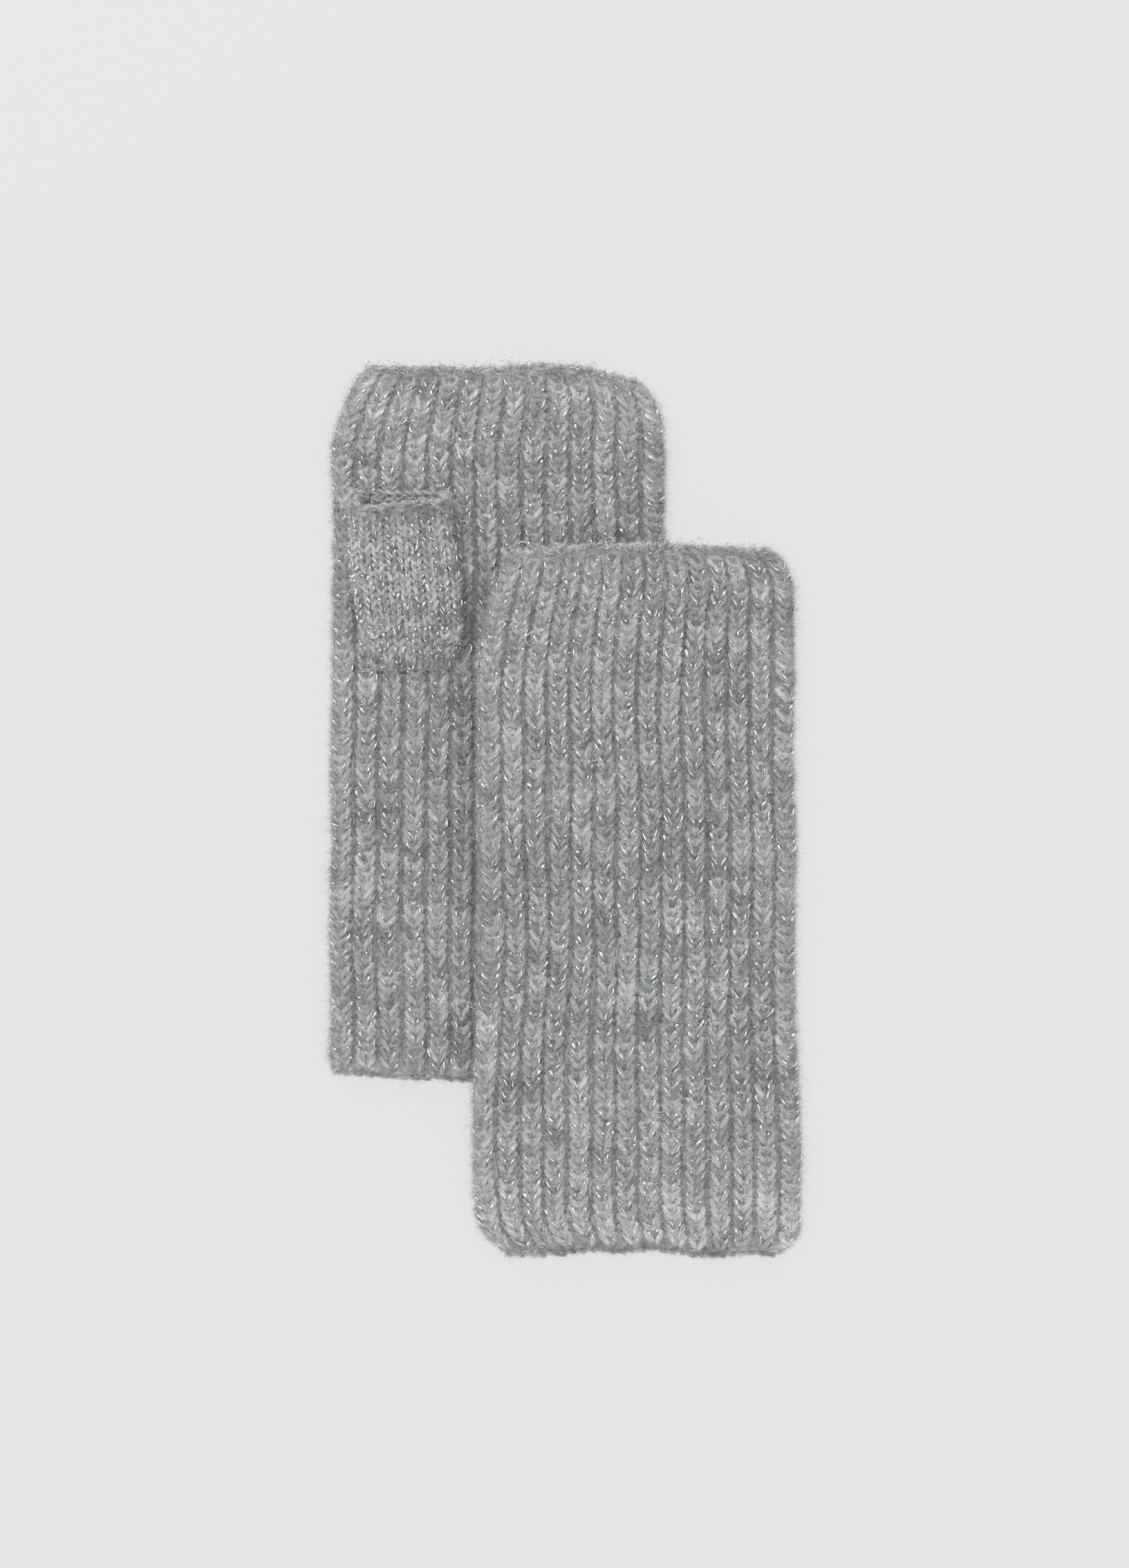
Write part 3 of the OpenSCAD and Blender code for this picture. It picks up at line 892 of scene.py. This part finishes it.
def hand_edges(g, rng):
    """The chained finger edge, the cast-on row of the cuff, and the nap on both."""
    links = 2 * RIBS
    tips = [chain_round(rng, links, g.hand, g.length - 1.5, 1, 0.66, 0.25),
            chain_round(rng, links, g.hand, g.length - 3.3, 1, 0.58, 0.45),
            chain_round(rng, links, g.hand, g.length - 1.3, -1, 0.66, 0.2)]
    made = join([sweep(chain) for chain in tips])
    edge = make_piece(f"{g.side}_finger_chain", made, WOOL, f"{g.side}_finger_edge")
    cast = [chain_round(rng, links, g.hand, 1.4, 1, 0.58, 0.3),
            chain_round(rng, links, g.hand, 1.6, -1, 0.6, 0.2)]
    made = join([sweep(chain) for chain in cast])
    cuff = make_piece(f"{g.side}_cast_on", made, WOOL, f"{g.side}_cuff_edge")
    # The finger edge's hairs are painted lighter: painted light against the shade on that edge.
    nap = join([edge_nap(rng, tips[0], 14000, 0.7, FINGER_PAINTED_LIGHT),
                edge_nap(rng, tips[1], 14000, 0.3, FINGER_PAINTED_LIGHT),
                edge_nap(rng, tips[2], 5000, 0.5, FINGER_PAINTED_LIGHT),
                edge_nap(rng, cast[0], 14000, 0.7),
                edge_nap(rng, cast[1], 5000, 0.5)])
    return [make_piece(f"{g.side}_edge_nap", nap, FUZZ), edge, cuff]


def hand_seams(g):
    """The linked seam inside the little finger's side, and the row of stitches picked up for the thumb."""
    made = seam_yarn(g.hand, np.arange(g.panel[0] + 1, g.panel[1] - 1, 0.8), 0.004, 1.5, 0.25, 0.5)
    seam = make_piece(f"{g.side}_side_seam_yarn", made, WOOL, f"{g.side}_side_seam")
    turn = np.linspace(0, 1, 60, endpoint=False)
    ring = thumb_point(g, turn, -BASE_LEN, 0.2 + 0.3 * np.cos(2 * np.pi * turn * 20))[None]
    made = sweep(Strands(ring, np.broadcast_to((0.0, 0.0, g.up), ring.shape), 0.45, True, 0.45))
    base = make_piece(f"{g.side}_picked_up_row", made, WOOL, f"{g.side}_thumb_base_seam")
    return [seam, base]


def hand_fuzz(g, rng, strands):
    """Short fuzz over the outer loops and in the furrows, a longer halo at the outline and the open edges."""
    outer = np.clip(strands.n - 0.1, 0, None)
    inner = np.clip(-strands.n - 0.2, 0, None)
    top = np.mod(strands.a, 1) < 0.5
    seen = outer * np.where(top, 1.0, 0.35)
    pieces = []
    for number in range(1, 5):
        made = fuzz(rng, strands, LOOP_HAIRS, seen)
        pieces.append(make_piece(f"{g.side}_fuzz_{number}", made, FUZZ))
    low = furrows(g, rng)
    facing = np.where(np.arange(RIBS)[:, None] < RIBS // 2, 1.0, 0.3) * np.ones(low.centres.shape[:2])
    made = fuzz(rng, low, FURROW_HAIRS, facing)
    pieces.append(make_piece(f"{g.side}_furrow_fuzz", made, FUZZ))
    rim = np.minimum(strands.place, g.length - strands.place)
    turn = np.mod(strands.a, 1)
    side = np.minimum(np.abs(turn - 0.5), np.minimum(turn, 1 - turn))
    near = outer * (np.exp(-((side / 0.02) ** 2)) + 0.8 * np.exp(-((rim / 4) ** 2)))
    made = join([fuzz(rng, strands, HALO_HAIRS, near), fuzz(rng, strands, LONG_HAIRS, near),
                 fuzz(rng, strands, INNER_HAIRS, inner, -1.0)])
    pieces.append(make_piece(f"{g.side}_halo", made, FUZZ))
    return pieces


def hand_silver(g, rng, strands):
    """The filament that surfaces on the ribs, and its loose curls at the finger edge and on the body."""
    made = join([thin_strand(*filament_on(rng, strands, RIB_LEGS, *HAND_SILVER)),
                 thin_strand(*filament_on(rng, strands, RIB_LEGS, *THIN_SILVER))])
    shine = make_piece(f"{g.side}_hand_filament", made, FILAMENT)
    a = rng.uniform(0, 1, EDGE_CURLS)
    edge_at = g.hand(a, g.length - rng.uniform(-1.0, 2.6, EDGE_CURLS), 1.7)
    edge_out = 0.3 * (edge_at - g.hand(a, g.length - 5, 0)) + 2 * (edge_at - g.hand(a, g.length - 1, 0))
    a = rng.uniform(0, 1, BODY_CURLS)
    v = rng.uniform(6, g.length - 6, BODY_CURLS)
    body_at = g.hand(a, v, 1.8)
    at = np.concatenate([edge_at, body_at])
    out = np.concatenate([edge_out, body_at - g.hand(a, v, 0)])
    made = thin_strand(*curls(rng, at, out, *HAND_CURL))
    return [shine, make_piece(f"{g.side}_loose_curls", made, FILAMENT)]


def dress_hand(g):
    rng = np.random.default_rng(11 if g.right else 7)
    strands = hand_strands(g, rng)
    pieces = hand_knit(g, strands) + hand_edges(g, rng) + hand_seams(g)
    pieces += hand_fuzz(g, rng, strands) + hand_silver(g, rng, strands)
    for piece in pieces:
        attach(piece, f"{g.side}_hand")


def thumb_nap(rng, strands, chains):
    """Fuzz over a thumb's loops, longer at its tip and its base, and on its chained edge."""
    shown = np.clip(strands.n + 0.1, 0, None)
    tip = shown * (strands.place > THUMB_LEN - 6)
    base = shown * np.exp(-((strands.place + 7) / 2) ** 2)
    return join([fuzz(rng, strands, THUMB_HAIRS, shown), fuzz(rng, strands, THUMB_TIP_HAIRS, tip),
                 fuzz(rng, strands, THUMB_BASE_HAIRS, base),
                 edge_nap(rng, chains[0], 7000, 0.6), edge_nap(rng, chains[1], 3000, 0.6)])


def thumb_silver(g, rng, strands):
    """The filament that surfaces on a thumb, and its loose curls at the tip."""
    shine = filament_on(rng, strands, PLAIN_LEGS, *THUMB_SILVER)
    a = rng.uniform(0, 1, THUMB_CURLS)
    at = g.thumb(a, THUMB_LEN - rng.uniform(-1.4, 1.2, THUMB_CURLS), 1.4)
    loose = curls(rng, at, at - g.thumb(a, THUMB_LEN - 2, 0), *THUMB_CURL)
    return join([thin_strand(*shine), thin_strand(*loose)])


def dress_thumb(g):
    rng = np.random.default_rng(31 if g.right else 23)
    name = f"{g.side}_thumb"
    strands = thumb_strands(g, rng)
    knit = make_piece(f"{name}_knit", sweep(strands), WOOL, f"{name}_tube")
    # The thumb's matting, painted dark as shade in the gaps between its stitches.
    sheet = wall_sheet(g.thumb, THUMB_WALES, np.arange(-BASE_LEN, THUMB_LEN - 1, 1.8), -0.2, 0.1)
    lining = make_piece(f"{name}_matting", sheet, MATTING_SHADE)
    chains = [chain_round(rng, THUMB_WALES + 4, g.thumb, THUMB_LEN - 1.7, 1, 0.62, 0.3),
              chain_round(rng, THUMB_WALES + 4, g.thumb, THUMB_LEN - 1.5, -1, 0.55, 0.15)]
    made = join([sweep(chain) for chain in chains])
    edge = make_piece(f"{name}_chain", made, WOOL, f"{name}_edge")
    made = seam_yarn(g.thumb, np.arange(0.5, THUMB_LEN - 3, 0.7), 0.01, 1.0, 0.2, 0.4)
    seam = make_piece(f"{name}_seam_yarn", made, WOOL, f"{name}_seam")
    nap = make_piece(f"{name}_fuzz", thumb_nap(rng, strands, chains), FUZZ)
    shine = make_piece(f"{name}_filament", thumb_silver(g, rng, strands), FILAMENT)
    for piece in (knit, lining, edge, seam, nap, shine):
        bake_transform(piece)


for glove in (left, right):
    dress_hand(glove)
    dress_thumb(glove)

{"cad": CAD_BOX, "visual": [list(corner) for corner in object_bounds()]}
